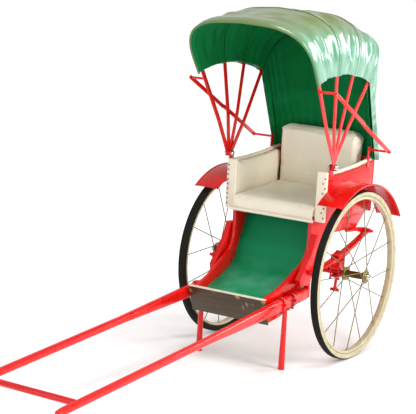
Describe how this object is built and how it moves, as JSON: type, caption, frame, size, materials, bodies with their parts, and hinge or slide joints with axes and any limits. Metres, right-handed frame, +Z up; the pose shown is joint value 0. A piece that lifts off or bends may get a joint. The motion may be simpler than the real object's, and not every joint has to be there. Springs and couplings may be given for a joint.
{
  "type": "hand-pulled rickshaw",
  "caption": "Two-wheeled passenger cart pulled by hand between long shafts, with spoked wheels, leaf springs, a padded bench seat and a folding hooped hood.",
  "frame": {"origin": "on the ground, under the middle of the whole vehicle: halfway across, and halfway between the tips of the shafts and the rear of the wheels", "axes": "+Z up; -Y is the front, where the puller stands between the shafts; +X is the passenger's left"},
  "size_m": [0.928, 2.564, 1.7039],
  "materials": {
    "red_iron": "gloss red enamel over forged iron",
    "red_wood": "gloss red enamel over wood",
    "green_board": "worn green paint over wood",
    "brown_board": "dark varnished wood, scuffed",
    "cream_strip": "painted pressed strip",
    "cream_vinyl": "smooth cream upholstery vinyl",
    "hood_cloth": "coated canvas, wrinkled and glossy outside, matt green lining",
    "tyre_rubber": "solid black rubber tread with cream sidewalls",
    "cream_enamel": "cream enamel",
    "hub_brass": "tarnished brass and dull spokes",
    "bright_plate": "bright nickel plate"
  },
  "bodies": {
    "chassis": {"axle": "red_iron", "leaf_spring_left": "red_iron", "leaf_spring_right": "red_iron", "spring_seat_left": "red_iron", "spring_seat_right": "red_iron", "front_spring_iron_left": "red_iron", "front_spring_iron_right": "red_iron", "rear_spring_iron_left": "red_iron", "rear_spring_iron_right": "red_iron", "shaft_left": "red_wood", "shaft_right": "red_wood", "front_leg_left": "red_iron", "front_leg_right": "red_iron", "side_panel_left": "red_wood", "side_panel_right": "red_wood", "crossbar": "red_wood", "foot_board": "green_board", "front_board": "brown_board", "front_board_trim": "cream_strip", "seat_board": "red_wood", "seat_box_bottom": "red_wood", "arm_board_left": "red_wood", "arm_board_right": "red_wood", "rear_panel": "red_wood", "seat_cushion": "cream_vinyl", "backrest_cushion": "cream_vinyl", "armrest_pad_left": "cream_vinyl", "armrest_pad_right": "cream_vinyl", "mudguard_left": "red_iron", "mudguard_right": "red_iron", "hood_pivot_left": "red_iron", "hood_pivot_right": "red_iron", "hood_knob_left": "bright_plate", "hood_knob_right": "bright_plate", "stay_bracket_left": "red_iron", "stay_bracket_right": "red_iron"},
    "wheel_left": {"tyre_left": "tyre_rubber", "rim_left": "cream_enamel", "hub_and_spokes_left": "hub_brass", "hub_cap_left": "bright_plate"},
    "wheel_right": {"tyre_right": "tyre_rubber", "rim_right": "cream_enamel", "hub_and_spokes_right": "hub_brass", "hub_cap_right": "bright_plate"},
    "hoop_4": {"hood_hoop_4": "red_iron", "hood_curtain": "hood_cloth"},
    "hoop_3": {"hood_hoop_3": "red_iron", "hood_cover_3": "hood_cloth"},
    "hoop_2": {"hood_hoop_2": "red_iron", "hood_cover_2": "hood_cloth"},
    "hoop_1": {"hood_hoop_1": "red_iron", "hood_cover_1": "hood_cloth"},
    "stay_rear_left": {"stay_rear_left": "red_iron"},
    "stay_front_left": {"stay_front_left": "red_iron"},
    "stay_rear_right": {"stay_rear_right": "red_iron"},
    "stay_front_right": {"stay_front_right": "red_iron"}
  },
  "joints": [
    {"name": "wheel_left_spin", "type": "hinge", "parent": "chassis", "child": "wheel_left", "pos_m": [0.376, 0.862, 0.42], "axis": [1, 0, 0], "continuous": true},
    {"name": "wheel_right_spin", "type": "hinge", "parent": "chassis", "child": "wheel_right", "pos_m": [-0.376, 0.862, 0.42], "axis": [1, 0, 0], "continuous": true},
    {"name": "hood_fold", "type": "hinge", "parent": "chassis", "child": "hoop_4", "pos_m": [0, 0.705, 0.957], "axis": [-1, 0, 0], "range_deg": [0, 42], "deforming": ["hood_curtain"]},
    {"name": "hoop_3_fold", "type": "hinge", "parent": "hoop_4", "child": "hoop_3", "pos_m": [0, 0.705, 0.957], "axis": [-1, 0, 0], "range_deg": [0, 14.2], "deforming": ["hood_cover_3"]},
    {"name": "hoop_2_fold", "type": "hinge", "parent": "hoop_3", "child": "hoop_2", "pos_m": [0, 0.705, 0.957], "axis": [-1, 0, 0], "range_deg": [0, 14.9], "deforming": ["hood_cover_2"]},
    {"name": "hoop_1_fold", "type": "hinge", "parent": "hoop_2", "child": "hoop_1", "pos_m": [0, 0.705, 0.957], "axis": [-1, 0, 0], "range_deg": [0, 15.8], "deforming": ["hood_cover_1"]},
    {"name": "stay_rear_left_swing", "type": "hinge", "parent": "chassis", "child": "stay_rear_left", "pos_m": [0.394, 1.097, 1.013], "axis": [1, 0, 0], "range_deg": [0, 19.3]},
    {"name": "stay_front_left_swing", "type": "hinge", "parent": "hoop_1", "child": "stay_front_left", "pos_m": [0.401, 0.47802, 1.33626], "axis": [-1, 0, 0], "range_deg": [0, 42]},
    {"name": "stay_rear_right_swing", "type": "hinge", "parent": "chassis", "child": "stay_rear_right", "pos_m": [-0.394, 1.097, 1.013], "axis": [1, 0, 0], "range_deg": [0, 19.3]},
    {"name": "stay_front_right_swing", "type": "hinge", "parent": "hoop_1", "child": "stay_front_right", "pos_m": [-0.401, 0.47802, 1.33626], "axis": [-1, 0, 0], "range_deg": [0, 42]}
  ],
  "couplings": [
    {"joint": "hoop_3_fold", "follows": "hood_fold", "ratio": 0.338},
    {"joint": "hoop_2_fold", "follows": "hood_fold", "ratio": 0.3547},
    {"joint": "hoop_1_fold", "follows": "hood_fold", "ratio": 0.376},
    {"joint": "stay_rear_left_swing", "follows": "hood_fold", "ratio": 0.4564},
    {"joint": "stay_front_left_swing", "follows": "hood_fold", "ratio": 0.9967},
    {"joint": "stay_rear_right_swing", "follows": "hood_fold", "ratio": 0.4564},
    {"joint": "stay_front_right_swing", "follows": "hood_fold", "ratio": 0.9967}
  ]
}
